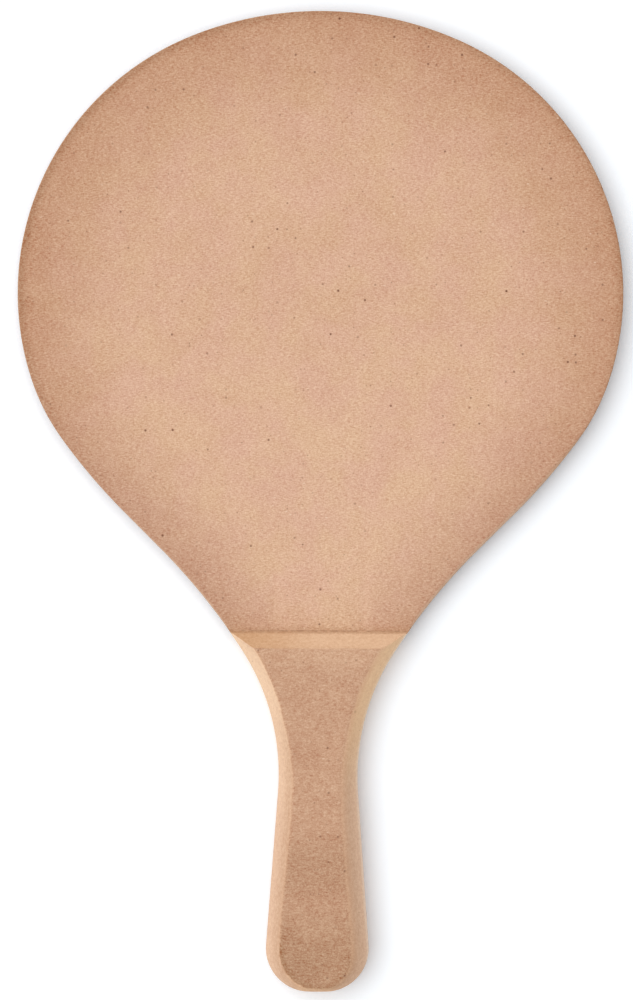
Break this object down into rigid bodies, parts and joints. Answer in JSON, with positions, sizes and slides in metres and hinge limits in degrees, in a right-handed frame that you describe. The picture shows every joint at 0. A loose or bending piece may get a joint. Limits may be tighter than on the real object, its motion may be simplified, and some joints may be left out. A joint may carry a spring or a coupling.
{
  "type": "paddle ball bat",
  "caption": "Round-headed fibreboard bat with a bevelled, hollow-waisted handle, for hitting a small ball to and fro on a beach or lawn.",
  "frame": {"origin": "middle of the bat's plan, on the plane of the back cheek's flat face", "axes": "+Y along the bat from the butt to the crown, +X across the head, +Z out of the front face"},
  "size_m": [0.235, 0.38, 0.0183],
  "materials": {
    "blade_board": "raw medium-density fibreboard, pressed skin on the faces, sanded edge",
    "cheek_board": "raw medium-density fibreboard, pressed skin on the face, paler sanded core on the bevels",
    "wood_glue": "cured wood glue, matt"
  },
  "bodies": {
    "root": {"blade": "blade_board", "front_glue": "wood_glue", "back_glue": "wood_glue", "front_cheek": "cheek_board", "back_cheek": "cheek_board"}
  },
  "joints": []
}
